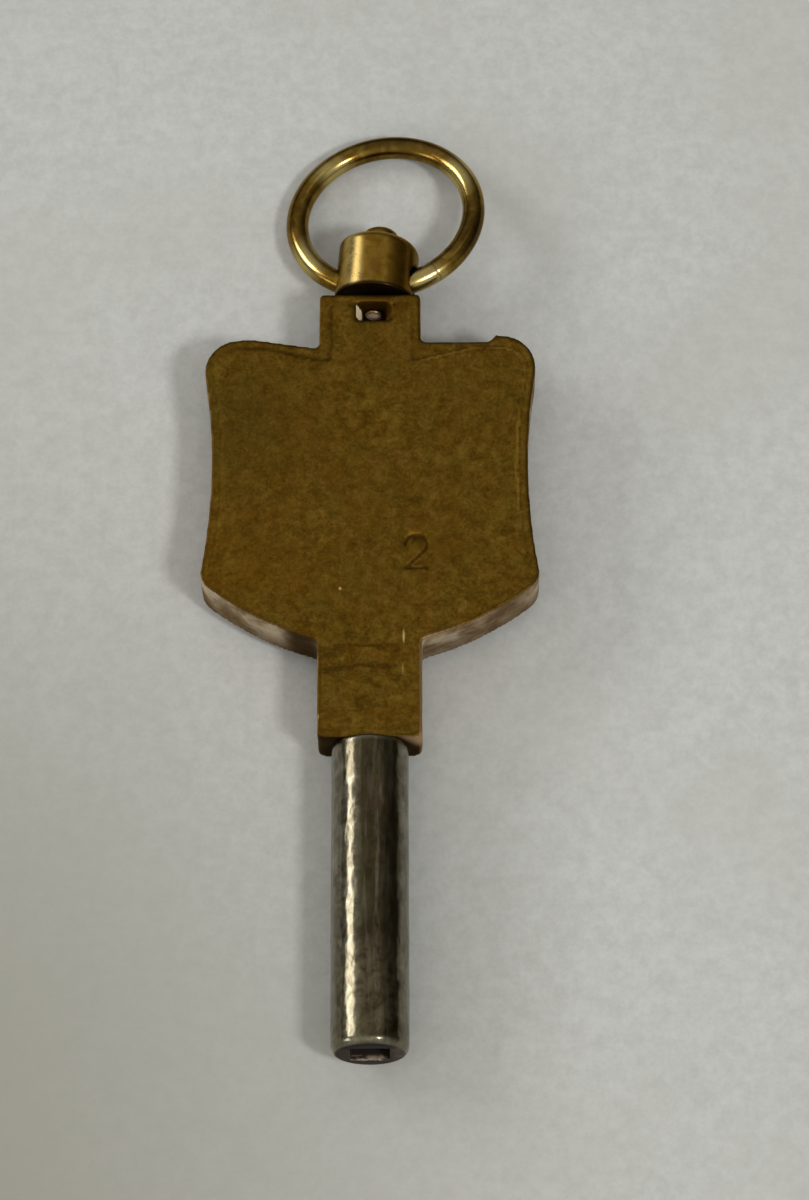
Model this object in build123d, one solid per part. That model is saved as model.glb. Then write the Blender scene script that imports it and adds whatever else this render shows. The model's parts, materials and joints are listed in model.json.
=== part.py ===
# Winding key for a pocket watch: a brass plate on a steel pipe, with a ring on a riveted swivel head.
# Units are millimetres. The key lies on its back: Y runs along the pipe's axis towards the ring,
# X is to the right and Z points out of the plate's front. The origin is the centre of the pipe's mouth.
import os
from math import atan2, cos, degrees, radians, sin, sqrt, tan

from build123d import *

# Every cut runs this far past the face that it opens
overrun = 1.0

# Pipe: steel, with a square socket for the winding arbor and a tang that is driven into the plate
pipe_radius = 1.8
pipe_length = 15.0
pipe_mouth_chamfer = 0.2
socket_across_flats = 1.8
socket_depth = 6.0
pilot_bore_radius = 0.8
pilot_bore_depth = 8.5
tang_radius = 0.85
tang_length = 5.2
tang_end_chamfer = 0.2

# Plate: sheet brass, filed to a shield-like outline between two necks
plate_thickness = 2.45
neck_width = 4.9
lower_neck_length = 4.9
upper_neck_length = 2.45
shield_height = 15.8
lower_corner_width = 16.18
lower_corner_rise = 3.05
lower_edge_bulge = 0.35
upper_corner_width = 16.6
side_hollow = 0.64
left_shoulder_drop = 0.48
left_shoulder_land = 1.1
right_shoulder_drop = 0.16
right_corner_rise = 0.2
notch_land = 0.5
notch_run = 0.35
upper_corner_radius = 1.7
lower_corner_radius = 1.0
shoulder_fillet = 0.25
base_fillet = 0.12
upper_neck_corner_radius = 0.2
lower_neck_corner_radius = 0.3
tang_bore_end_gap = 0.3

# Raised field: the middle of each face stands a little proud of a plain border
field_rise = 0.06
border_width = 0.6
field_shoulder_drop = 0.8
field_shoulder_land = 1.6
field_corner_radius = 0.3

# Window in the upper neck, flared at both faces, where the swivel's stem is riveted over
window_wall = 0.4
window_height = 1.03
window_mouth_width = 1.76
window_throat_width = 1.2
window_throat_depth = 0.85
window_offset = 0.18

# Size mark: a numeral 2 stamped in the front face
mark_centre_x = 2.2
mark_centre_rise = 4.5
mark_height = 2.1
mark_width = 1.35
mark_stroke = 0.34
mark_depth = 0.12

# Swivel head: turned brass, with a cross-hole for the ring, and a thin stem through the neck's end wall
swivel_offset = 0.21
swivel_lean = 4.5
swivel_turn = 9.0
head_base_radius = 2.0
head_top_radius = 1.96
head_height = 3.05
head_rim_radius = 0.4
finial_radius = 0.9
finial_height = 0.85
finial_rim_radius = 0.45
stem_radius = 0.31
stem_clearance = 0.035
end_float = 0.03
button_radius = 0.45
button_edge = 0.08
button_dome = 0.16
cross_hole_height = 0.98
cross_hole_flare = 0.09

# Ring: brass wire, bent round and closed
ring_radius = 4.41
wire_radius = 0.56
ring_clearance = 0.035
ring_swing = -9.1

# Heights along Y that more than one piece uses
shield_base = pipe_length + lower_neck_length
shield_top = shield_base + shield_height
neck_end = shield_top + upper_neck_length
window_top = neck_end - window_wall

# The head's lowest edge clears the neck's end although its axis leans
head_lift = head_base_radius * sin(radians(swivel_lean)) + end_float

# A straight hole takes the curved wire: it spans the wire's outside in its middle and the wire's
# inside where its two mouths begin to flare
cross_hole_reach = head_base_radius - cross_hole_flare
inside_rise = ring_radius - sqrt((ring_radius - wire_radius) ** 2 - cross_hole_reach**2)
cross_hole_radius = (wire_radius + inside_rise) / 2 + ring_clearance
ring_sag = (inside_rise - wire_radius) / 2

# The swivel's frame: local Z is its axis, from the neck's end outwards, and local X is the cross-hole
swivel_pivot = Vector(swivel_offset, neck_end, 0)
swivel_axis = Vector(sin(radians(swivel_lean)), cos(radians(swivel_lean)), 0)
hole_axis = Vector(cos(radians(swivel_lean)), -sin(radians(swivel_lean)), 0).rotate(
    Axis((0, 0, 0), swivel_axis), -swivel_turn
)
swivel_plane = Plane(origin=swivel_pivot, x_dir=hole_axis, z_dir=swivel_axis)
cross_hole_centre = swivel_pivot + swivel_axis * (head_lift + cross_hole_height)
ring_direction = swivel_axis.rotate(Axis((0, 0, 0), hole_axis), ring_swing)
ring_centre = cross_hole_centre + ring_direction * (ring_radius - ring_sag)


def rounded(sketch, corner, radius):
    # Rounds the corner of a flat outline that lies nearest to the given point.
    nearest = sketch.vertices().sort_by_distance((*corner, 0))[0]
    return fillet(nearest, radius)


def turned(points, plane):
    # Turns a closed profile of (radius, height) points about the plane's Z axis.
    profile = make_face(Polyline(*[(r, 0, z) for r, z in points], close=True))
    return plane * revolve(profile, Axis.Z)


def plate_outline():
    # Outline seen from the front, anticlockwise from the lower neck's left foot.
    neck = neck_width / 2
    low_x, low_y = lower_corner_width / 2, shield_base + lower_corner_rise
    high_x = upper_corner_width / 2
    left_break_x = high_x - upper_corner_radius - left_shoulder_land
    right_shoulder_y = shield_top - right_shoulder_drop
    right_top_y = shield_top + right_corner_rise
    notch_tip_x = high_x - upper_corner_radius - notch_land
    notch_foot_x = notch_tip_x - notch_run

    left_foot, right_foot = (-neck, pipe_length), (neck, pipe_length)
    left_base, right_base = (-neck, shield_base), (neck, shield_base)
    left_low, right_low = (-low_x, low_y), (low_x, low_y)
    left_high, right_high = (-high_x, shield_top), (high_x, shield_top)
    left_break = (-left_break_x, shield_top)
    left_root, right_root = (-neck, shield_top - left_shoulder_drop), (neck, right_shoulder_y)
    notch_foot, notch_tip = (notch_foot_x, right_shoulder_y), (notch_tip_x, right_top_y)
    left_end, right_end = (-neck, neck_end), (neck, neck_end)

    edges = [
        Line(left_foot, right_foot),
        Line(right_foot, right_base),
        SagittaArc(right_base, right_low, -lower_edge_bulge),
        SagittaArc(right_low, right_high, side_hollow),
        Line(right_high, notch_tip),
        Line(notch_tip, notch_foot),
        Line(notch_foot, right_root),
        Line(right_root, right_end),
        Line(right_end, left_end),
        Line(left_end, left_root),
        Line(left_root, left_break),
        Line(left_break, left_high),
        SagittaArc(left_high, left_low, side_hollow),
        SagittaArc(left_low, left_base, -lower_edge_bulge),
        Line(left_base, left_foot),
    ]
    outline = make_face(edges)
    corners = {
        lower_neck_corner_radius: [left_foot, right_foot],
        base_fillet: [left_base, right_base],
        lower_corner_radius: [left_low, right_low],
        upper_corner_radius: [left_high, right_high],
        shoulder_fillet: [left_root, right_root],
        upper_neck_corner_radius: [left_end, right_end],
    }
    for radius, points in corners.items():
        for point in points:
            outline = rounded(outline, point, radius)
    return outline


def field_outline():
    # The field keeps a border inside the plate's outline, and its shoulders slope alike on both sides.
    lower_slope = atan2(lower_corner_rise, (lower_corner_width - neck_width) / 2)
    lift = border_width * (1 / cos(lower_slope) - tan(lower_slope))
    neck = neck_width / 2 - border_width
    foot_y, end_y = pipe_length + border_width, neck_end - border_width
    base = (neck, shield_base + lift)
    low = (lower_corner_width / 2 - border_width, shield_base + lower_corner_rise + lift)
    high = (upper_corner_width / 2 - border_width, shield_top - border_width)
    high_radius = upper_corner_radius - border_width
    shoulder_break = (high[0] - high_radius - field_shoulder_land, shield_top - border_width)
    root = (neck, shield_top - border_width - field_shoulder_drop)
    right_half = [
        Line((0, foot_y), (neck, foot_y)),
        Line((neck, foot_y), base),
        SagittaArc(base, low, -lower_edge_bulge),
        SagittaArc(low, high, side_hollow),
        Line(high, shoulder_break),
        Line(shoulder_break, root),
        Line(root, (neck, end_y)),
        Line((neck, end_y), (0, end_y)),
    ]
    field = make_face(right_half + [mirror(edge, about=Plane.YZ) for edge in right_half])
    for side in (1, -1):
        for x, y in (low, base, root, (neck, foot_y), (neck, end_y)):
            field = rounded(field, (side * x, y), field_corner_radius)
        field = rounded(field, (side * high[0], high[1]), high_radius)
    return field


def window_cut():
    # The window is narrower at its throat than at the two faces.
    mouth_z = plate_thickness / 2 + field_rise
    throat_z = mouth_z - window_throat_depth
    throat_x, mouth_x = window_throat_width / 2, window_mouth_width / 2
    slope = (mouth_x - throat_x) / window_throat_depth
    outer_x, outer_z = mouth_x + slope * overrun, mouth_z + overrun
    right_side = [(outer_x, outer_z), (throat_x, throat_z), (throat_x, -throat_z), (outer_x, -outer_z)]
    left_side = [(-x, z) for x, z in reversed(right_side)]
    section = make_face(Polyline(*[(x, 0, z) for x, z in right_side + left_side], close=True))
    return Pos(window_offset, window_top, 0) * extrude(section, amount=window_height, dir=(0, -1, 0))


def size_mark():
    # A numeral 2: a bow of a little over half a turn, a slanted stroke and a foot, cut to one depth.
    stroke = mark_stroke / 2
    bow_radius = mark_width / 2 - stroke
    bow_y = mark_height / 2 - stroke - bow_radius
    foot_y = stroke - mark_height / 2
    bow_end = -40
    joint = (bow_radius * cos(radians(bow_end)), bow_y + bow_radius * sin(radians(bow_end)))
    bow = CenterArc((0, bow_y), bow_radius, bow_end, 180 - bow_end)
    slant = Line(joint, (-bow_radius, foot_y))
    foot = Line((-bow_radius, foot_y), (bow_radius, foot_y))
    strokes = SlotArc(bow, mark_stroke)
    for line in (slant, foot):
        middle, along = line @ 0.5, line % 0
        turn = degrees(atan2(along.Y, along.X))
        strokes += Pos(middle.X, middle.Y) * SlotCenterToCenter(line.length, mark_stroke, rotation=turn)
    face_z = plate_thickness / 2 + field_rise
    place = Pos(mark_centre_x, shield_base + mark_centre_rise, face_z - mark_depth)
    return place * extrude(strokes, amount=mark_depth + overrun)


def shield_plate():
    plate = extrude(plate_outline(), amount=plate_thickness / 2, both=True)
    plate += extrude(field_outline(), amount=plate_thickness / 2 + field_rise, both=True)
    plate -= window_cut()
    plate -= size_mark()

    tang_bore = Plane.XZ * Cylinder(
        tang_radius, tang_length + tang_bore_end_gap + overrun, align=(Align.CENTER, Align.CENTER, Align.MAX)
    )
    plate -= Pos(0, pipe_length - overrun, 0) * tang_bore

    stem_hole_length = window_wall + window_height
    stem_hole = Pos(0, 0, -window_wall / 2) * Cylinder(stem_radius + stem_clearance, stem_hole_length)
    plate -= swivel_plane * stem_hole
    return plate


def key_pipe():
    # Local Z runs from the mouth towards the plate.
    along = Plane(origin=(0, 0, 0), x_dir=(1, 0, 0), z_dir=(0, 1, 0))
    upwards = (Align.CENTER, Align.CENTER, Align.MIN)
    barrel = Cylinder(pipe_radius, pipe_length, align=upwards)
    barrel = chamfer(barrel.edges().sort_by(Axis.Z)[0], pipe_mouth_chamfer)
    tang = Pos(0, 0, pipe_length) * Cylinder(tang_radius, tang_length, align=upwards)
    tang = chamfer(tang.edges().sort_by(Axis.Z)[-1], tang_end_chamfer)
    socket = Box(socket_across_flats, socket_across_flats, socket_depth + overrun, align=upwards)
    pilot = Cylinder(pilot_bore_radius, pilot_bore_depth + overrun, align=upwards)
    pipe = barrel + tang - Pos(0, 0, -overrun) * (socket + pilot)
    return along * pipe


def cross_hole():
    # Straight through the head, with a flare at each mouth.
    flare_end = cross_hole_reach + overrun
    flare_radius = cross_hole_radius + overrun
    half = [(0, 0), (cross_hole_radius, 0), (cross_hole_radius, cross_hole_reach), (flare_radius, flare_end)]
    half.append((0, flare_end))
    mouth = turned(half, Plane.XY)
    hole = mouth + mirror(mouth, about=Plane.XY)
    return Pos(0, 0, head_lift + cross_hole_height) * Rot(0, 90, 0) * hole


def swivel_post():
    # One turned piece, from the finial down to the riveted button in the window.
    head_top = head_lift + head_height
    head = turned(
        [(0, head_lift), (head_base_radius, head_lift), (head_top_radius, head_top), (0, head_top)], Plane.XY
    )
    head = fillet(head.edges().sort_by(Axis.Z)[-1], head_rim_radius)
    finial = Pos(0, 0, head_top) * Cylinder(
        finial_radius, finial_height, align=(Align.CENTER, Align.CENTER, Align.MIN)
    )
    finial = fillet(finial.edges().sort_by(Axis.Z)[-1], finial_rim_radius)

    # The button's upper edge clears the window's top although the axis leans
    lean = radians(swivel_lean)
    button_top = -(window_wall + end_float + button_radius * sin(lean)) / cos(lean)
    button_base = button_top - button_edge
    dome_radius = (button_radius**2 + button_dome**2) / (2 * button_dome)
    button = Pos(0, 0, button_base) * Cylinder(
        button_radius, button_edge, align=(Align.CENTER, Align.CENTER, Align.MIN)
    )
    dome = Pos(0, 0, button_base - button_dome + dome_radius) * Sphere(dome_radius)
    dome &= Pos(0, 0, button_base) * Cylinder(
        button_radius, button_dome + overrun, align=(Align.CENTER, Align.CENTER, Align.MAX)
    )
    button += dome
    stem = Pos(0, 0, button_top) * Cylinder(
        stem_radius, head_lift - button_top, align=(Align.CENTER, Align.CENTER, Align.MIN)
    )
    return swivel_plane * (head + finial + stem + button - cross_hole())


def bow_ring():
    ring_plane = Plane(origin=ring_centre, x_dir=hole_axis, z_dir=hole_axis.cross(ring_direction))
    return ring_plane * Torus(ring_radius, wire_radius)


parts = {
    "shield_plate": shield_plate(),
    "key_pipe": key_pipe(),
    "swivel_post": swivel_post(),
    "bow_ring": bow_ring(),
}

os.makedirs("parts", exist_ok=True)
for name, part in parts.items():
    export_step(part, f"parts/{name}.step")
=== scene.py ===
import json
from math import atan2, cos, pi, radians, sin, sqrt

import bmesh
import bpy
import numpy as np
from mathutils import Matrix, Vector


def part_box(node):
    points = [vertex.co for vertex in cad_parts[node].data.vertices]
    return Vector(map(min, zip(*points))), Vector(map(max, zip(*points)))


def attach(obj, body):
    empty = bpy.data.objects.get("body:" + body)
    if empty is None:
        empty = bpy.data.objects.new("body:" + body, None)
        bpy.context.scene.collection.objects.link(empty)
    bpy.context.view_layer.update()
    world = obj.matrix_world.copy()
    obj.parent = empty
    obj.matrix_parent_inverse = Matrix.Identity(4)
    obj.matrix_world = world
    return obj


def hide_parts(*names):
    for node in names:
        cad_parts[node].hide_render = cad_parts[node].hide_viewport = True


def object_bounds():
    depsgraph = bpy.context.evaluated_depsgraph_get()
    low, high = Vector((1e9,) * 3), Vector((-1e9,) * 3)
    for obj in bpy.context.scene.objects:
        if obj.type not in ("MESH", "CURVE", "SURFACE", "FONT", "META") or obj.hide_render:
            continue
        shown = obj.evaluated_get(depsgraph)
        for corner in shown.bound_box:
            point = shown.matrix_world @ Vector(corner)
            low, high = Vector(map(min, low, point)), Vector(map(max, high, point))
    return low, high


# Winding key for a pocket watch, lying on pale paper. The scene is in metres, with Y along the pipe
# and Z up; each piece is shaped in millimetres and brought to metres when it is done.

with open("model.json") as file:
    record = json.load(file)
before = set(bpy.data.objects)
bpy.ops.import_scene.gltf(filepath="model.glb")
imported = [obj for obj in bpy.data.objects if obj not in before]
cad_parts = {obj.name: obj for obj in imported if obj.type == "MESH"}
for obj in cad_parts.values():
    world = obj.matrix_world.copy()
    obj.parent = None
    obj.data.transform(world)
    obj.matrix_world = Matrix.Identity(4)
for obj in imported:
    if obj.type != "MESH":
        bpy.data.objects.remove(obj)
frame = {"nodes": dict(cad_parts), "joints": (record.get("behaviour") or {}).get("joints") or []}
cadBox = [list(corner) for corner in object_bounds()]
joints = {joint["name"]: joint for joint in frame["joints"]}
bpy.context.scene.view_settings.view_transform = "Standard"
print("frame loaded:", ", ".join(sorted(frame["nodes"])))


def pick(sockets, name):
    # Sockets that a node's data type leaves unused share their names with the used ones
    used = [socket for socket in sockets if socket.enabled]
    return used[name] if isinstance(name, int) else next(s for s in used if s.name == name)


class Wire:
    # One output socket. Sums and products on it become Math nodes.
    def __init__(self, graph, socket):
        self.graph = graph
        self.socket = socket

    def maths(self, operation, first, second):
        return self.graph.node("ShaderNodeMath", {"operation": operation}, {0: first, 1: second})

    def __add__(self, other):
        return self.maths("ADD", self, other)

    def __radd__(self, other):
        return self.maths("ADD", other, self)

    def __sub__(self, other):
        return self.maths("SUBTRACT", self, other)

    def __rsub__(self, other):
        return self.maths("SUBTRACT", other, self)

    def __mul__(self, other):
        return self.maths("MULTIPLY", self, other)

    def __rmul__(self, other):
        return self.maths("MULTIPLY", other, self)

    def __rtruediv__(self, other):
        return self.maths("DIVIDE", other, self)

    def __abs__(self):
        return self.graph.node("ShaderNodeMath", {"operation": "ABSOLUTE"}, {0: self})

    def between(self, low, high):
        # 0 at low, 1 at high, with soft ends
        return self.graph.node("ShaderNodeMapRange", {"interpolation_type": "SMOOTHSTEP"},
                               {"Value": self, "From Min": low, "From Max": high})


class Graph:
    def __init__(self, tree):
        self.tree = tree

    def node(self, kind, settings={}, sockets={}, out=0):
        made = self.tree.nodes.new(kind)
        for name, value in settings.items():
            if name == "stops":
                self.setStops(made.color_ramp, value)
            else:
                setattr(made, name, value)
        for name, value in sockets.items():
            if isinstance(value, Wire):
                self.tree.links.new(value.socket, pick(made.inputs, name))
            else:
                pick(made.inputs, name).default_value = value
        return Wire(self, pick(made.outputs, out)) if made.outputs else made

    def setStops(self, ramp, stops):
        for index, (position, colour) in enumerate(stops):
            stop = ramp.elements[index] if index < 2 else ramp.elements.new(position)
            stop.position = position
            stop.color = colour

    def vector(self, operation, first, second):
        # The second value is a factor when the vector is scaled
        return self.node("ShaderNodeVectorMath", {"operation": operation},
                         {0: first, "Scale" if operation == "SCALE" else 1: second})

    def length(self, vector):
        return self.node("ShaderNodeVectorMath", {"operation": "LENGTH"}, {0: vector})

    def split(self, vector):
        return [self.node("ShaderNodeSeparateXYZ", {}, {0: vector}, out=axis) for axis in "XYZ"]


def tone(red, green, blue):
    # A colour as it is read off a screen, 0 to 255
    values = [value / 255 for value in (red, green, blue)]
    return tuple(v / 12.92 if v < 0.04045 else ((v + 0.055) / 1.055) ** 2.4 for v in values) + (1,)


class Finish(Graph):
    # A material's tree, with the patterns that the key's metals share. Lengths are in millimetres.
    def __init__(self, name):
        self.material = bpy.data.materials.new(name)
        self.material.use_nodes = True
        super().__init__(self.material.node_tree)
        self.tree.nodes.clear()
        self.place = self.vector("SCALE", self.node("ShaderNodeTexCoord", out="Object"), 1000)

    def noise(self, scale, detail=3.0, roughness=0.5, vector=None, bend=0.0):
        return self.node("ShaderNodeTexNoise", {}, {
            "Vector": vector or self.place, "Scale": scale, "Detail": detail,
            "Roughness": roughness, "Distortion": bend})

    def streaks(self, along, across, turn, detail=3.0):
        # Fine lines in the plate's plane that run at an angle to X
        turned = self.node("ShaderNodeMapping", {}, {
            "Vector": self.place, "Rotation": (0, 0, radians(-turn))})
        stretched = self.vector("MULTIPLY", turned, (1 / along, 1 / across, 1 / across))
        return self.noise(1.0, detail, 0.6, stretched)

    def specks(self, scale, size):
        spot = self.node("ShaderNodeTexVoronoi", {}, {"Vector": self.place, "Scale": scale})
        return spot.between(size, size * 0.4)

    def patch(self, x, y, width, height):
        # A soft spot on the plate, 1 in its middle
        moved = self.node("ShaderNodeMapping", {"vector_type": "TEXTURE"}, {
            "Vector": self.place, "Location": (x, y, 0), "Scale": (width, height, 1000)})
        return self.length(moved).between(1.0, 0.2)

    def stored(self, name):
        return self.node("ShaderNodeAttribute", {"attribute_name": name}, out="Fac")

    def mix(self, factor, first, second):
        return self.node("ShaderNodeMix", {"data_type": "RGBA"}, {0: factor, 1: first, 2: second})

    def ramp(self, factor, *stops):
        return self.node("ShaderNodeValToRGB", {"stops": stops}, {0: factor})

    def done(self, colour, roughness, height, depth, metallic, film=0.0, glance=(1.0, 1.0, 1.0, 1.0)):
        # The film is the thin glossy skin of oxide and polish on bright metal.
        # The glance is a metal's tint where it is seen along its surface.
        bumps = self.node("ShaderNodeBump", {}, {"Height": height, "Distance": depth / 1000})
        surface = self.node("ShaderNodeBsdfPrincipled", {}, {
            "Base Color": colour, "Roughness": roughness, "Metallic": metallic, "Coat Weight": film,
            "Coat Roughness": 0.14, "Specular Tint": glance, "Normal": bumps})
        self.node("ShaderNodeOutputMaterial", {}, {"Surface": surface})
        return self.material


class Shaping(Graph):
    # A Geometry Nodes tree with named inputs. It is applied to a piece, which keeps a plain mesh.
    kinds = {float: "NodeSocketFloat", int: "NodeSocketInt", bpy.types.Material: "NodeSocketMaterial"}

    def __init__(self, name, values):
        super().__init__(bpy.data.node_groups.new(name, "GeometryNodeTree"))
        self.values = values
        sockets = self.tree.interface
        sockets.new_socket("Geometry", in_out="INPUT", socket_type="NodeSocketGeometry")
        self.identifiers = {
            label: sockets.new_socket(label, in_out="INPUT", socket_type=self.kinds[type(value)]).identifier
            for label, value in values.items()}
        sockets.new_socket("Geometry", in_out="OUTPUT", socket_type="NodeSocketGeometry")
        self.entry = self.tree.nodes.new("NodeGroupInput")

    def input(self, label):
        return Wire(self, self.entry.outputs[label])

    def position(self):
        return self.node("GeometryNodeInputPosition")

    def noise(self, size, seed, vector=None, detail=2.0):
        # Around 0, with bumps about as long as the size
        return self.node("ShaderNodeTexNoise", {"noise_dimensions": "4D"}, {
            "Vector": vector or self.position(), "W": seed, "Scale": 1 / size, "Detail": detail}) - 0.5

    def softened(self, rounds, weight=1.0):
        return self.node("GeometryNodeBlurAttribute", {"data_type": "FLOAT_VECTOR"}, {
            "Value": self.position(), "Iterations": rounds, "Weight": weight})

    def bulge(self, rounds):
        # How far the surface stands out from its softened self: edges are above 0, hollows below
        apart = self.vector("SUBTRACT", self.position(), self.softened(rounds))
        return self.node("ShaderNodeVectorMath", {"operation": "DOT_PRODUCT"}, {
            0: apart, 1: self.node("GeometryNodeInputNormal")})

    def store(self, geometry, name, value):
        return self.node("GeometryNodeStoreNamedAttribute", {"data_type": "FLOAT", "domain": "POINT"},
                         {"Geometry": geometry, "Name": name, "Value": value})

    def moved(self, geometry, height):
        # Moves the surface along its normal
        offset = self.vector("SCALE", self.node("GeometryNodeInputNormal"), height)
        return self.node("GeometryNodeSetPosition", {}, {"Geometry": geometry, "Offset": offset})

    def end(self, geometry):
        smooth = self.node("GeometryNodeSetShadeSmooth", {}, {"Geometry": geometry})
        real = self.node("GeometryNodeRealizeInstances", {}, {"Geometry": smooth})
        dressed = self.node("GeometryNodeSetMaterial", {}, {
            "Geometry": real, "Material": self.input("Finish")})
        outlet = self.tree.nodes.new("NodeGroupOutput")
        self.tree.links.new(dressed.socket, outlet.inputs[0])

    def apply(self, piece):
        modifier = piece.modifiers.new(self.tree.name, "NODES")
        modifier.node_group = self.tree
        for label, value in self.values.items():
            modifier[self.identifiers[label]] = value
        bakeModifiers(piece)


def bakeModifiers(piece):
    # The evaluated shape becomes the piece's own mesh
    bpy.context.view_layer.update()
    evaluated = piece.evaluated_get(bpy.context.evaluated_depsgraph_get())
    mesh = bpy.data.meshes.new_from_object(evaluated, preserve_all_data_layers=True,
                                           depsgraph=bpy.context.evaluated_depsgraph_get())
    piece.modifiers.clear()
    piece.data = mesh


def newPiece(name, data):
    piece = bpy.data.objects.new(name, data)
    bpy.context.scene.collection.objects.link(piece)
    return piece


def solidCopy(node, name):
    # A CAD node's mesh with its doubles merged, in millimetres
    mesh = frame["nodes"][node].data.copy()
    shape = bmesh.new()
    shape.from_mesh(mesh)
    bmesh.ops.remove_doubles(shape, verts=shape.verts, dist=1e-7)
    bmesh.ops.scale(shape, vec=(1000,) * 3, verts=shape.verts)
    shape.to_mesh(mesh)
    shape.free()
    mesh.materials.clear()
    return newPiece(name, mesh)


def remesh(piece, size):
    modifier = piece.modifiers.new("even quads", "REMESH")
    modifier.mode = "VOXEL"
    modifier.voxel_size = size
    modifier.use_smooth_shade = True
    bakeModifiers(piece)


def points(mesh):
    flat = np.empty(len(mesh.vertices) * 3)
    mesh.vertices.foreach_get("co", flat)
    return flat.reshape(-1, 3)


def store(mesh, name, values):
    layer = mesh.attributes.new(name, "FLOAT", "POINT")
    layer.data.foreach_set("value", values.astype(np.float32))


def place(piece, node, body):
    # Millimetres become metres, faces point outwards, and the piece takes its CAD node's place
    shape = bmesh.new()
    shape.from_mesh(piece.data)
    bmesh.ops.scale(shape, vec=(0.001,) * 3, verts=shape.verts)
    bmesh.ops.recalc_face_normals(shape, faces=shape.faces)
    if shape.calc_volume(signed=True) < 0:
        bmesh.ops.reverse_faces(shape, faces=shape.faces)
    shape.to_mesh(piece.data)
    shape.free()
    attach(piece, body)
    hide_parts(node)
    print(f"{piece.name}: {len(piece.data.vertices)} vertices")


# Plate: sheet brass, worn and tarnished

plate = {
    "mesh size": 0.1,
    "edge rounding": 2,
    "field top": 1.285,
    "field rise": 0.06,
    "wave height": 0.035,
    "wave size": 4.0,
    "dent depth": 0.016,
    "dent size": 0.7,
    "grain depth": 0.014,
    "window middle": 0.18,
    "window top": 37.75,
    "window reach": 1.15,
    "window height": 1.3,
    "window side": 0.55,
    "bright from": 0.15,
    "bright to": 0.85,
    "seed": 3,
}


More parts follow.
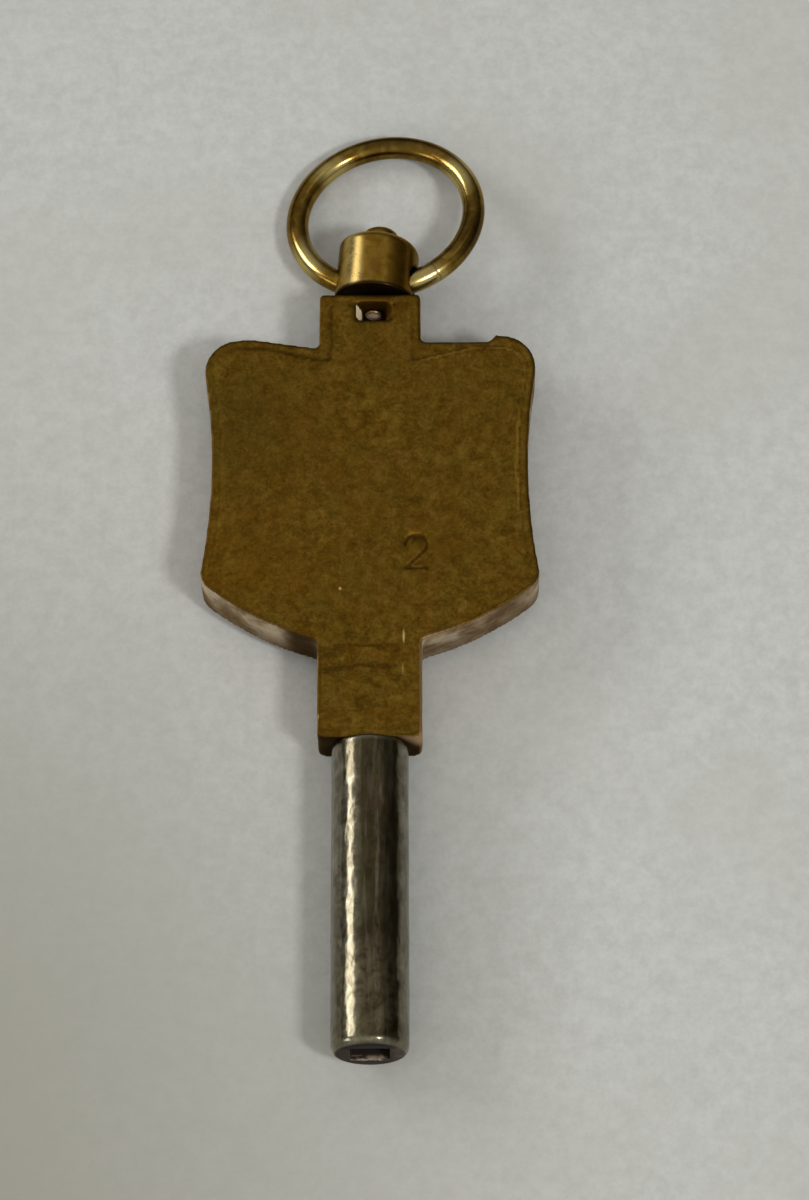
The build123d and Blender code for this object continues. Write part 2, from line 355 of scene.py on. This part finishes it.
def tarnishedBrass():
    metal = Finish("tarnishedBrass")
    x, y, z = metal.split(metal.place)
    front = z.between(-0.2, 0.2)
    cloud = metal.noise(0.22, 3, 0.55)
    mottle = metal.noise(1.9, 7, 0.75, bend=0.4)
    tint = metal.noise(0.7, 5, 0.65, metal.vector("ADD", metal.place, (7.0, 3.0, 0.0)))
    grain = metal.noise(6.0, 4, 0.7)
    smear = metal.streaks(1.3, 0.6, 3, 5)
    scratch = metal.streaks(5.0, 0.035, 78, 1.0).between(0.68, 0.76)

    colour = metal.ramp(mottle, (0.32, tone(74, 51, 11)), (0.5, tone(107, 80, 22)),
                        (0.68, tone(136, 106, 42)))
    colour = metal.mix(cloud.between(0.4, 0.65) * 0.35, colour, tone(104, 74, 20))
    colour = metal.mix(tint.between(0.5, 0.64) * 0.35, colour, tone(108, 72, 16))
    colour = metal.mix(tint.between(0.5, 0.36) * 0.25, colour, tone(100, 86, 26))
    colour = metal.mix(metal.patch(-6.4, 31.2, 3.6, 4.2) * 0.45, colour, tone(78, 66, 22))
    colour = metal.mix(metal.patch(-6.0, 23.6, 6.0, 3.0) * 0.35, colour, tone(114, 78, 16))
    # The lower neck is smeared and crossed by two dark lines, and a few small scratches on it carry painted
    # highlights
    foot = y.between(21.5, 19.5) * 0.8 + 0.2
    colour = metal.mix(foot * smear.between(0.5, 0.34) * 0.5, colour, tone(66, 48, 12))
    colour = metal.mix(foot * smear.between(0.54, 0.7) * 0.5, colour, tone(118, 98, 40))
    bent = y - smear * 0.9 - x * 0.03
    lines = abs(bent - 19.14).between(0.17, 0.0) + abs(bent - 18.12).between(0.2, 0.0)
    lines = lines * x.between(2.0, 0.6) * x.between(-2.4, -1.3) * mottle.between(0.36, 0.56) * front
    colour = metal.mix(lines * 0.7, colour, tone(46, 30, 8))
    colour = metal.mix(grain.between(0.52, 0.7) * 0.45, colour, tone(136, 104, 42))
    colour = metal.mix(grain.between(0.48, 0.3) * 0.4, colour, tone(62, 42, 10))
    colour = metal.mix(metal.specks(1.3, 0.1) * 0.35, colour, tone(52, 34, 10))
    scratchHighlights = metal.patch(1.59, 20.05, 0.08, 0.48) + metal.patch(1.55, 18.4, 0.07, 0.42) * 0.3
    scratchHighlights = scratchHighlights + metal.patch(-1.4, 22.5, 0.1, 0.12) + metal.patch(-2.42, 16.0, 0.09, 0.2)
    colour = metal.mix(scratchHighlights * front, colour, tone(206, 178, 104))

    # The filed edges are paler than the faces and darker towards the bottom, and the neck's lower end is
    # nearly black
    flank = metal.stored("flank")
    bloom = metal.noise(0.55, 4, 0.6, bend=0.4)
    filed = metal.noise(1.0, 4, 0.6, metal.vector("MULTIPLY", metal.place, (0.5, 0.5, 7.0)))
    side = metal.ramp(bloom, (0.38, tone(122, 100, 78)), (0.5, tone(166, 146, 120)),
                      (0.62, tone(212, 198, 176)))
    side = metal.mix(filed.between(0.5, 0.68) * 0.5, side, tone(108, 80, 48))
    side = metal.mix(filed.between(0.5, 0.32) * 0.35, side, tone(196, 172, 136))
    side = metal.mix(z.between(0.7, -0.9) * 0.6, side, tone(88, 62, 34))
    # Painted shade in the corner beside the neck
    side = metal.mix(metal.patch(-3.1, 20.2, 1.6, 1.2) * 0.85, side, tone(50, 34, 18))
    end = y.between(15.4, 15.1)
    side = metal.mix(end * 0.95, side, tone(34, 22, 8))
    # A painted highlight on the upper right of the neck's lower end
    side = metal.mix(end * (x + z * 0.8).between(2.0, 2.8), side, tone(190, 160, 126))
    colour = metal.mix(flank, colour, side)
    # Painted shade darkens the face's rounded edges
    colour = metal.mix(metal.stored("edge") * 0.6 * (1.0 - flank), colour, tone(60, 40, 10))
    # Grime in the hollows, and painted shade on the field's upper left edge
    colour = metal.mix(metal.stored("shadeAndGrime") * 0.8, colour, tone(40, 25, 5))
    # A painted highlight on the field's right edge, which faces the light
    colour = metal.mix(metal.stored("paintedLight") * mottle.between(0.3, 0.55) * 0.6, colour, tone(166, 130, 56))
    # A painted highlight along the neck's right edge
    neckEdge = metal.stored("edge") * x.between(2.25, 2.4) * y.between(21.0, 19.0)
    colour = metal.mix(neckEdge * 0.6, colour, tone(184, 152, 112))
    # Inside the window the brass is darker, and painted highlights brighten its walls, the left one most
    window = metal.stored("window")
    colour = metal.mix(window.between(0.0, 0.1), colour, tone(96, 68, 20))
    colour = metal.mix(window.between(0.2, 1.0), colour, tone(248, 232, 192))

    roughness = 0.42 + mottle * 0.16 + flank * 0.14 + window.between(0.0, 0.1) * 0.1
    height = grain * 0.5 + mottle * 0.8 + smear * foot * 0.4
    height = height - scratch * 0.5 - lines * 0.4 + filed * flank * 0.6
    metallic = 1.0 - window.between(0.12, 0.5)
    return metal.done(colour, roughness, height, plate["grain depth"], metallic,
                      glance=(0.85, 0.72, 0.5, 1.0))


def wornPlate(piece, finish):
    # Grime lies in the recesses, painted shade darkens the field's upper left edge, and a painted highlight
    # brightens its right edge
    work = Shaping("wornPlate", {
        "Edge rounding": plate["edge rounding"], "Wave height": plate["wave height"],
        "Wave size": plate["wave size"], "Dent depth": plate["dent depth"],
        "Dent size": plate["dent size"], "Field top": plate["field top"],
        "Field rise": plate["field rise"], "Seed": float(plate["seed"]), "Finish": finish})
    seed = work.input("Seed")
    shape = work.input("Geometry")
    bulge = work.bulge(12)
    x, y, z = work.split(work.position())
    sideways, upwards, upright = work.split(work.node("GeometryNodeInputNormal"))
    share = (work.input("Field top") - abs(z)) * (1 / work.input("Field rise"))
    step = share.between(0.12, 0.3) * share.between(0.9, 0.7)
    step = step * abs(upright).between(0.5, 0.7) * y.between(24.0, 28.0)
    # How strongly the painted highlight shows along the field's right edge
    highlightPattern = y.between(25.5, 27.5) * y.between(32.0, 30.5) * 0.7 + 0.3
    lit = sideways.between(0.05, 0.2) * highlightPattern + upwards.between(0.05, 0.2) * x.between(2.2, 2.8)
    shadedSide = sideways.between(-0.05, -0.2) + upwards.between(0.05, 0.2) * x.between(-2.2, -2.8)
    shape = work.store(shape, "edge", bulge.between(0.008, 0.06))
    # Hollows hold grime; the field's left-facing steps get painted shade
    dirtAndShade = bulge.between(-0.004, -0.03) * y.between(21.5, 22.5) * 0.8
    dirtAndShade = dirtAndShade + step * shadedSide * x.between(-7.2, -5.2) * 0.7
    shape = work.store(shape, "shadeAndGrime", dirtAndShade)
    shape = work.store(shape, "paintedLight", step * lit)
    shape = work.store(shape, "flank", abs(upright).between(0.75, 0.35))
    wear = work.noise(1.5, seed) * 1.6 + 0.6
    rounded = work.softened(work.input("Edge rounding"), wear)
    shape = work.node("GeometryNodeSetPosition", {}, {"Geometry": shape, "Position": rounded})
    # Towards the foot the border is worn level with the field
    level = y.between(25.5, 23.5) * abs(upright).between(0.3, 0.6) * abs(z).between(1.14, 1.19) * 0.85
    lift = (work.input("Field top") - abs(z)) * level * z * (1 / abs(z))
    shape = work.node("GeometryNodeSetPosition", {}, {
        "Geometry": shape, "Offset": work.node("ShaderNodeCombineXYZ", {}, {"Z": lift})})
    waves = work.noise(work.input("Wave size"), seed) * work.input("Wave height")
    dents = work.noise(work.input("Dent size"), seed + 7.0) * work.input("Dent depth")
    work.end(work.moved(shape, waves + dents))
    work.apply(piece)


def markWindow(mesh):
    # Inside the window the brass is dull, and a painted highlight makes its left wall bright, with a faint
    # one on the right wall
    x, y, z = points(mesh).T
    across = x - plate["window middle"]
    below = plate["window top"] - y
    around = (abs(across) < plate["window reach"]) & (below > -0.25) & (below < plate["window height"])
    opening = around & (abs(z) < 1.2)
    side = plate["window side"]
    rightWall = np.where((across > side) & (below > 0.55), 0.24, 0.1)
    bright = np.where(across < -side, 1.0, rightWall)
    bright = bright * (below > plate["bright from"]) * (below < plate["bright to"])
    store(mesh, "window", opening * np.maximum(bright, 0.1))
    flank = mesh.attributes["flank"].data
    values = np.empty(len(flank))
    flank.foreach_get("value", values)
    flank.foreach_set("value", np.where(around, 0, values))


plateFinish = tarnishedBrass()
shieldPlate = solidCopy("shield_plate", "shieldPlate")
remesh(shieldPlate, plate["mesh size"])
wornPlate(shieldPlate, plateFinish)
markWindow(shieldPlate.data)
place(shieldPlate, "shield_plate", "key")


# Pipe: steel, filed smooth by hand, with a square socket

pipe = {
    "radius": 1.8,
    "length": 15.0,
    "end chamfer": 0.05,
    "mouth rounding": 0.42,
    "socket across flats": 1.8,
    "socket edge": 0.08,
    "socket depth": 6.0,
    "bore radius": 0.8,
    "bore depth": 8.5,
    "tang radius": 0.85,
    "tang length": 5.2,
    "tang chamfer": 0.2,
    "sides": 256,
    "ring spacing": 0.1,
    "tang rings": 12,
    "rounding rings": 9,
    "edge rounding": 2,
    "grain depth": 0.014,
    "facet depth": 0.06,
    "facet length": 1.1,
    "facet width": 0.55,
    "socket roughness": 0.04,
    "seed": 11,
}


def filedSteel():
    metal = Finish("filedSteel")
    x, y, z = metal.split(metal.place)
    cloud = metal.noise(0.4, 3, 0.55)
    mottle = metal.noise(1.6, 4, 0.6, bend=0.6)
    rub = metal.streaks(0.25, 2.6, 0, 4)
    grain = metal.noise(14.0, 2, 0.6)

    colour = metal.ramp(mottle, (0.3, tone(84, 76, 56)), (0.5, tone(112, 105, 86)),
                        (0.72, tone(146, 141, 124)))
    patina = metal.mix(cloud.between(0.42, 0.6), tone(58, 50, 20), tone(62, 46, 22))
    stain = metal.noise(1.0, 5, 0.65, metal.vector("MULTIPLY", metal.place, (1.6, 0.8, 1.6)))
    colour = metal.mix(x.between(-0.75, -0.3) * x.between(1.6, 1.2) * 0.85, colour, patina)
    colour = metal.mix(stain.between(0.5, 0.62) * x.between(-0.75, -0.3) * 0.5, colour, tone(44, 35, 16))
    colour = metal.mix(y.between(5.4, 3.6) * mottle.between(0.36, 0.6) * 0.35, colour, tone(124, 117, 88))
    colour = metal.mix(rub.between(0.5, 0.66) * 0.25, colour, tone(136, 130, 108))
    colour = metal.mix(metal.specks(1.4, 0.16) * 0.6, colour, tone(50, 38, 26))
    # The mouth's face is stained dark, the socket is darkened by stain and painted shade, and a painted
    # glint of light lies on the socket's lower wall
    inside = metal.stored("shadeAndGrime") * y.between(0.02, 0.07)
    mouth = y.between(0.14, 0.03) * (1.0 - inside)
    face = metal.mix(x.between(0.7, 1.3), tone(44, 26, 16), tone(76, 66, 52))
    face = metal.mix(mottle.between(0.4, 0.6) * 0.5, face, tone(32, 19, 12))
    face = metal.mix(z.between(0.75, 1.0) * x.between(1.5, 0.9) * 0.9, face, tone(12, 7, 4))
    face = metal.mix(z.between(-0.95, -1.15) * 0.5, face, tone(44, 38, 24))
    colour = metal.mix(mouth, colour, face)
    colour = metal.mix(inside, colour, tone(38, 28, 22))
    highlightPattern = metal.noise(2.6, 3, 0.6, metal.vector("MULTIPLY", metal.place, (1.0, 2.5, 1.0)))
    glint = inside * y.between(0.36, 0.16) * z.between(-0.6, -0.8) * x.between(0.85, 0.5)
    colour = metal.mix(glint * highlightPattern.between(0.42, 0.62), colour, tone(146, 128, 112))
    colour = metal.mix(metal.stored("edge") * (1.0 - mouth) * 0.5, colour, tone(150, 146, 128))

    roughness = 0.14 + mottle * 0.1 + cloud * 0.06 + mouth * 0.5 + inside * 0.2
    height = mottle * 0.8 + rub * 0.4 + grain * 0.08
    film = 0.25 * (1.0 - mouth) * (1.0 - inside)
    return metal.done(colour, roughness, height, pipe["grain depth"], 1.0 - (mouth + inside) * 0.7, film)


def pipeBody():
    # Closed rings from the tang's end along the outside to the mouth, then down the socket
    half = pipe["socket across flats"] / 2
    lip = pipe["socket edge"]
    mouth = pipe["mouth rounding"]
    angles = [2 * pi * index / pipe["sides"] for index in range(pipe["sides"])]

    def circle(radius):
        return [(radius * cos(a), radius * sin(a)) for a in angles]

    def square(reach):
        corner = [reach / max(abs(cos(a)), abs(sin(a))) for a in angles]
        return [(out * cos(a), out * sin(a)) for out, a in zip(corner, angles)]

    tangEnd = pipe["length"] + pipe["tang length"]
    tang = pipe["tang radius"]
    chamfer = pipe["tang chamfer"]
    shoulder = pipe["end chamfer"]
    tangSides = np.linspace(tangEnd - chamfer, pipe["length"], pipe["tang rings"])[1:]
    outside = np.arange(pipe["length"] - shoulder, mouth, -pipe["ring spacing"])
    walls = np.arange(0.15, pipe["socket depth"], pipe["ring spacing"] * 2)
    rings = [(tangEnd, circle(tang - chamfer)), (tangEnd - chamfer, circle(tang))]
    rings += [(y, circle(tang)) for y in tangSides]
    rings += [(pipe["length"], circle(pipe["radius"] - shoulder))]
    rings += [(y, circle(pipe["radius"])) for y in outside]
    for turn in np.linspace(0, pi / 2, pipe["rounding rings"]):
        rings.append((mouth * (1 - sin(turn)), circle(pipe["radius"] - mouth * (1 - cos(turn)))))
    for step in (0.35, 0.7):
        flat = circle(pipe["radius"] - mouth)
        edge = square(half + lip)
        rings.append((0, [(f[0] + (e[0] - f[0]) * step, f[1] + (e[1] - f[1]) * step)
                          for f, e in zip(flat, edge)]))
    rings += [(0, square(half + lip)), (lip * 0.3, square(half + lip * 0.3)), (lip, square(half))]
    rings += [(y, square(half)) for y in walls]
    rings += [(pipe["socket depth"], square(half)), (pipe["socket depth"], circle(pipe["bore radius"]))]
    rings += [(pipe["bore depth"], circle(pipe["bore radius"]))]

    shape = bmesh.new()
    loops = [[shape.verts.new((x, y, z)) for x, z in ring] for y, ring in rings]
    for first, second in zip(loops, loops[1:]):
        for index in range(pipe["sides"]):
            after = (index + 1) % pipe["sides"]
            shape.faces.new((first[index], first[after], second[after], second[index]))
    for loop, y in ((loops[0], rings[0][0]), (loops[-1], rings[-1][0])):
        centre = shape.verts.new((0, y, 0))
        for index in range(pipe["sides"]):
            shape.faces.new((loop[index], loop[(index + 1) % pipe["sides"]], centre))
    bmesh.ops.recalc_face_normals(shape, faces=shape.faces)
    mesh = bpy.data.meshes.new("keyPipe")
    shape.to_mesh(mesh)
    shape.free()
    return newPiece("keyPipe", mesh)


def filedPipe(piece, finish):
    work = Shaping("filedPipe", {
        "Edge rounding": pipe["edge rounding"], "Facet depth": pipe["facet depth"],
        "Facet length": pipe["facet length"], "Facet width": pipe["facet width"],
        "Socket roughness": pipe["socket roughness"], "Seed": float(pipe["seed"]), "Finish": finish})
    seed = work.input("Seed")
    shape = work.input("Geometry")
    bulge = work.bulge(6)
    x, y, z = work.split(work.position())
    fromAxis = work.length(work.node("ShaderNodeCombineXYZ", {}, {"X": x, "Z": z}))
    inside = fromAxis.between(1.32, 1.25)
    shape = work.store(shape, "shadeAndGrime", inside)
    shape = work.store(shape, "edge", bulge.between(0.004, 0.03) * (1.0 - inside))
    rounded = work.softened(work.input("Edge rounding"), 0.7)
    shape = work.node("GeometryNodeSetPosition", {}, {"Geometry": shape, "Position": rounded})
    stretch = work.node("ShaderNodeCombineXYZ", {}, {
        "X": x * (1 / work.input("Facet width")), "Y": y * (1 / work.input("Facet length")),
        "Z": z * (1 / work.input("Facet width"))})
    facets = work.noise(1.0, seed, stretch, 1.5) * work.input("Facet depth")
    rough = work.noise(0.45, seed + 3.0, None, 3.0) * work.input("Socket roughness")
    outside = y.between(0.02, 0.3) * (1.0 - inside)
    work.end(work.moved(shape, facets * outside + rough * inside * y.between(0.0, 0.2)))
    work.apply(piece)


keyPipe = pipeBody()
filedPipe(keyPipe, filedSteel())
place(keyPipe, "key_pipe", "key")


# Swivel head: turned brass, pierced for the ring, riveted over in the neck's window

head = {
    "mesh size": 0.06,
    "base radius": 2.0,
    "top radius": 1.96,
    "height": 3.05,
    "lift": 0.1869,
    "rim rounding left": 0.25,
    "rim rounding right": 0.6,
    "rim change width": 3.8,
    "base rounding": 0.05,
    "finial radius": 0.9,
    "finial height": 0.85,
    "finial rounding": 0.45,
    "finial fillet": 0.2,
    "finial root": 1.0,
    "hole height": 0.98,
    "hole radius": 0.8486,
    "hole reach": 1.91,
    "hole rounding": 0.03,
    "stem radius": 0.31,
    "stem fillet": 0.03,
    "stem root": 0.3,
    "button top": -0.4667,
    "button radius": 0.45,
    "button edge": 0.08,
    "button dome": 0.2,
    "grain depth": 0.008,
}


def brightBrass(name, dark, middle, light, gloss, rough, depth, tarnishAndSheen=0.0, paintedLight=0.0):
    metal = Finish(name)
    x, y, z = metal.split(metal.place)
    cloud = metal.noise(0.5, 3, 0.55)
    mottle = metal.noise(1.8, 4, 0.6, bend=0.5)
    grain = metal.noise(10.0, 3, 0.6)
    colour = metal.ramp(mottle, (0.3, dark), (0.5, middle), (0.74, light))
    colour = metal.mix(cloud.between(0.45, 0.7) * 0.35, colour, tone(136, 100, 48))
    # Brown tarnish on the ring's right and top limbs, darkened further as painted shade where those limbs
    # face away from the light
    brown = metal.patch(6.0, 41.6, 2.6, 3.0) + metal.patch(1.4, 48.8, 4.8, 2.6)
    colour = metal.mix(brown * tarnishAndSheen, colour, tone(56, 38, 11))
    # Painted highlights: paler patches where the ring's highlights fall
    paintedHighlights = metal.patch(-3.1, 41.0, 1.3, 1.7) + metal.patch(-1.7, 46.2, 1.6, 1.1)
    paintedHighlights = paintedHighlights + metal.patch(4.4, 45.4, 1.2, 1.8) + metal.patch(2.9, 39.3, 1.6, 1.0)
    colour = metal.mix(paintedHighlights * tarnishAndSheen * 0.8, colour, tone(214, 194, 124))
    # On the head, a painted highlight down its left side and painted shade on its right side
    band = x.between(-0.2, -0.6) * x.between(-1.5, -1.0) * (mottle.between(0.36, 0.6) * 0.3 + 0.7)
    colour = metal.mix(band * paintedLight * 0.75, colour, tone(206, 184, 120))
    colour = metal.mix(x.between(0.5, 1.6) * paintedLight, colour, tone(104, 72, 12))
    colour = metal.mix(metal.specks(1.9, 0.1) * 0.3, colour, tone(80, 54, 16))
    # Grime in the ring's joint; on the head, painted shade in the cross-hole and under its base
    shadeAndGrime = metal.stored("shadeAndGrime")
    colour = metal.mix(shadeAndGrime * 0.95, colour, tone(26, 14, 6))
    # A painted highlight round the head's top rim
    colour = metal.mix(metal.stored("edge") * 0.4, colour, tone(206, 170, 84))
    # A painted highlight makes the riveted button pale
    rivet = metal.stored("rivet")
    colour = metal.mix(rivet * 0.9, colour, tone(216, 192, 172))
    roughness = gloss + mottle * rough + grain * 0.03 + rivet * 0.15
    metallic = 1.0 - rivet * 0.6 - shadeAndGrime * 0.15
    height = mottle * 0.7 + grain * 0.2
    return metal.done(colour, roughness, height, depth, metallic, film=0.12 * tarnishAndSheen,
                      glance=(0.9, 0.8, 0.6, 1.0))


def roundedMeet(first, second, radius):
    # Where two shapes meet, given as distances, with the edge between them rounded
    over = np.maximum(first + radius, 0), np.maximum(second + radius, 0)
    return np.minimum(-radius, np.maximum(first, second)) + np.hypot(*over)


def roundedJoin(first, second, radius):
    return -roundedMeet(-first, -second, radius)


def headDistance(spots):
    # How far each point lies outside the turned head. X runs along the cross-hole and Z up the axis.
    x, y, z = spots.T
    out = np.hypot(x, y)
    base, top = head["lift"], head["lift"] + head["height"]
    taper = atan2(head["base radius"] - head["top radius"], head["height"])
    side = (out - head["base radius"]) * cos(taper) + (z - base) * sin(taper)
    left, right = head["rim rounding left"], head["rim rounding right"]
    towardsRight = np.clip(0.5 + x / head["rim change width"], 0, 1)
    body = roundedMeet(side, z - top, left + (right - left) * towardsRight)
    body = roundedMeet(body, base - z, head["base rounding"])
    finial = roundedMeet(out - head["finial radius"], z - top - head["finial height"],
                         head["finial rounding"])
    finial = np.maximum(finial, base + head["finial root"] - z)
    solid = roundedJoin(body, finial, head["finial fillet"])

    buttonBase = head["button top"] - head["button edge"]
    dome = (head["button radius"] ** 2 + head["button dome"] ** 2) / (2 * head["button dome"])
    ball = np.sqrt(out**2 + (z - buttonBase + head["button dome"] - dome) ** 2) - dome
    button = np.maximum(out - head["button radius"], np.maximum(z - head["button top"], ball))
    stemEnds = np.maximum(buttonBase - z, z - base - head["stem root"])
    stem = np.maximum(out - head["stem radius"], stemEnds)
    solid = np.minimum(roundedJoin(solid, stem, head["stem fillet"]), button)

    around = np.hypot(y, z - base - head["hole height"]) - head["hole radius"]
    flare = (around - np.abs(x) + head["hole reach"]) * sqrt(0.5)
    return roundedMeet(solid, -np.minimum(around, flare), head["hole rounding"])


def settle(spots, distance, rounds=8, step=0.004):
    # Brings points onto the surface where the distance is 0
    for _ in range(rounds):
        here = distance(spots)
        slope = np.stack([(distance(spots + shift) - distance(spots - shift)) / (2 * step)
                          for shift in np.eye(3) * step], axis=1)
        size = np.maximum((slope**2).sum(axis=1), 0.2)
        spots = spots - slope * np.clip(here / size, -0.06, 0.06)[:, None]
    return spots


def axes(origin, along, up):
    # A frame with X along one direction and Z up another, in millimetres
    xAxis, zAxis = Vector(along).normalized(), Vector(up).normalized()
    yAxis = zAxis.cross(xAxis)
    turn = Matrix((xAxis, yAxis, zAxis)).transposed().to_4x4()
    return Matrix.Translation(Vector(origin) * 1000) @ turn


swivelFrame = axes(joints["swivel_turn"]["pos_m"], joints["bow_swing"]["axis"],
                   joints["swivel_turn"]["axis"])


def turnedHead(finish):
    piece = solidCopy("swivel_post", "swivelHead")
    piece.data.transform(swivelFrame.inverted())
    remesh(piece, head["mesh size"])
    piece.modifiers.new("relax", "SMOOTH").iterations = 3
    bakeModifiers(piece)
    spots = settle(points(piece.data), headDistance)
    piece.data.vertices.foreach_set("co", spots.ravel())
    x, y, z = spots.T
    # Painted shade inside the cross-hole and under the base
    hole = np.hypot(y, z - head["lift"] - head["hole height"])
    deep = np.clip((head["hole radius"] + 0.12 - hole) / 0.12, 0, 1) * (np.hypot(x, y) < 2.1)
    under = np.clip((head["lift"] + 0.18 - z) / 0.06, 0, 1)
    # A painted highlight round the top rim
    rim = np.exp(-((z - head["lift"] - head["height"] + 0.15) / 0.12) ** 2) * (np.hypot(x, y) > 1.2)
    store(piece.data, "shadeAndGrime", np.maximum(deep, under * (z > -0.1)))
    store(piece.data, "edge", rim)
    # A painted highlight on the riveted button
    button = np.clip((head["button top"] + 0.08 - z) / 0.05, 0, 1)
    store(piece.data, "rivet", button * np.clip((0.44 - np.hypot(x, y)) / 0.14, 0.15, 1))
    piece.data.transform(swivelFrame)
    piece.data.polygons.foreach_set("use_smooth", np.ones(len(piece.data.polygons), bool))
    piece.data.materials.append(finish)
    return piece


headFinish = brightBrass("turnedBrass", tone(112, 82, 22), tone(132, 102, 34), tone(156, 126, 56),
                         gloss=0.2, rough=0.14, depth=head["grain depth"], paintedLight=0.7)
swivelHead = turnedHead(headFinish)
place(swivelHead, "swivel_post", "swivel")


# Ring: brass wire bent round, with its butt joint

ring = {
    "ring radius": 4.41,
    "wire radius": 0.56,
    "thickness": 0.98,
    "steps round": 900,
    "sides": 48,
    "joint place": 0.86,
    "joint width": 0.09,
    "joint depth": 0.01,
    "unevenness": 0.035,
    "grain depth": 0.004,
    "seed": 5,
}


def bentWire(finish):
    work = Shaping("bentWire", {
        "Ring radius": ring["ring radius"], "Wire radius": ring["wire radius"],
        "Thickness": ring["thickness"], "Steps round": ring["steps round"], "Sides": ring["sides"],
        "Joint place": ring["joint place"], "Joint width": ring["joint width"],
        "Joint depth": ring["joint depth"], "Unevenness": ring["unevenness"],
        "Seed": float(ring["seed"]), "Finish": finish})
    path = work.node("GeometryNodeCurvePrimitiveCircle", {}, {
        "Resolution": work.input("Steps round"), "Radius": work.input("Ring radius")})
    travelled = work.node("GeometryNodeSplineParameter")
    away = abs(travelled - work.input("Joint place")) * work.input("Ring radius") * (2 * pi)
    groove = away.between(work.input("Joint width"), 0.0)
    uneven = work.noise(1.6, work.input("Seed")) * work.input("Unevenness")
    thickness = work.input("Thickness") - groove * work.input("Joint depth") + uneven
    section = work.node("GeometryNodeCurvePrimitiveCircle", {}, {
        "Resolution": work.input("Sides"), "Radius": work.input("Wire radius")})
    path = work.store(path, "shadeAndGrime", groove * 0.4)
    work.end(work.node("GeometryNodeCurveToMesh", {}, {
        "Curve": path, "Profile Curve": section, "Scale": thickness}))
    piece = newPiece("bowRing", bpy.data.meshes.new("bowRing"))
    work.apply(piece)
    low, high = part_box("bow_ring")
    middle = (low + high) / 2
    hinge = Vector(joints["bow_swing"]["axis"])
    outwards = middle - Vector(joints["bow_swing"]["pos_m"])
    piece.data.transform(axes(middle, hinge, hinge.cross(outwards)))
    return piece


wireFinish = brightBrass("wireBrass", tone(90, 65, 18), tone(120, 93, 30), tone(152, 126, 52),
                         gloss=0.17, rough=0.06, depth=ring["grain depth"], tarnishAndSheen=0.85)
bowRing = bentWire(wireFinish)
place(bowRing, "bow_ring", "ring")


# Paper, light and camera

paper = {"size": 0.7, "gap below key": 0.00003, "roughness": 0.85, "fibre depth": 0.02}


def palePaper():
    sheet = Finish("palePaper")
    fibre = sheet.noise(1.6, 7, 0.75)
    cloud = sheet.noise(0.06, 3, 0.5)
    colour = sheet.mix(fibre.between(0.25, 0.75), tone(180, 181, 177), tone(198, 199, 196))
    colour = sheet.mix(cloud.between(0.42, 0.62) * 0.4, colour, tone(180, 181, 175))
    # Painted shade darkens the paper towards the lower left
    colour = sheet.mix(sheet.patch(-32, -14, 50, 62), colour, tone(150, 149, 138))
    return sheet.done(colour, paper["roughness"], fibre, paper["fibre depth"], metallic=0.0)


def layPaper():
    half = paper["size"] / 2
    level = cadBox[0][2] - paper["gap below key"]
    corners = [(x * half, y * half, level) for x, y in ((-1, -1), (1, -1), (1, 1), (-1, 1))]
    mesh = bpy.data.meshes.new("paper")
    mesh.from_pydata(corners, [], [(0, 1, 2, 3)])
    mesh.materials.append(palePaper())
    newPiece("paper", mesh)


lamps = {
    "lampRight": {"from": (0.45, -0.43, 0.80), "distance": 0.40, "size": (0.055, 0.055), "power": 0.59},
    "windowLeft": {"from": (-0.82, 0.34, 0.47), "distance": 0.36, "size": (0.2, 0.1), "power": 0.4},
    "windowFront": {"from": (-0.88, -0.33, 0.33), "distance": 0.36, "size": (0.14, 0.06), "power": 0.13},
    "lampBehind": {"from": (0.35, 0.42, 0.84), "distance": 0.40, "size": (0.16, 0.09), "power": 0.02},
}
room = {"walls": 0.06, "ceiling": 0.52, "front": 0.46}
target = Vector((0, 0.024, 0))

# Found by fitting the key's outline to the photo
view = {
    "sensor width": 36,
    "focal length": 126,
    "from": (0.00289825, -0.05731928, 0.18203298),
    "right": (0.99996257, -0.00274776, -0.00820396),
    "up": (0.0058094, 0.91591675, 0.40132625),
    "back": (0.00641139, -0.40135889, 0.91589843),
}


def hangLamps():
    for name, lamp in lamps.items():
        light = bpy.data.lights.new(name, "AREA")
        light.shape = "RECTANGLE"
        light.size, light.size_y = lamp["size"]
        light.energy = lamp["power"]
        source = newPiece(name, light)
        towards = Vector(lamp["from"]).normalized()
        side = (Vector((0, 1, 0)) - towards * towards.y).normalized()
        source.location = target + towards * lamp["distance"]
        source.rotation_euler = Matrix((side, towards.cross(side), towards)).transposed().to_euler()


def lightRoom():
    # A dim ceiling that darkens to the right, some light from the front, and dark walls
    world = bpy.data.worlds.new("room")
    world.use_nodes = True
    world.node_tree.nodes.clear()
    air = Graph(world.node_tree)
    towards = air.node("ShaderNodeTexCoord", out="Generated")
    x, y, z = air.split(towards)
    left = x.between(0.75, -0.5) * 0.65 + 0.4
    level = room["walls"] + z.between(0.1, 0.9) * left * room["ceiling"]
    level = level + y.between(0.2, -0.9) * room["front"]
    glow = air.node("ShaderNodeBackground", {}, {"Color": (1.0, 0.975, 0.92, 1), "Strength": level})
    air.node("ShaderNodeOutputWorld", {}, {"Surface": glow})
    bpy.context.scene.world = world


def cameraAtPhoto():
    lens = bpy.data.cameras.new("camera")
    lens.sensor_width, lens.lens = view["sensor width"], view["focal length"]
    lens.clip_start = 0.01
    camera = newPiece("camera", lens)
    turn = Matrix((view["right"], view["up"], view["back"])).transposed().to_4x4()
    camera.matrix_world = Matrix.Translation(view["from"]) @ turn
    bpy.context.scene.camera = camera


layPaper()
hangLamps()
lightRoom()
cameraAtPhoto()
print("paper, lamps and camera set")
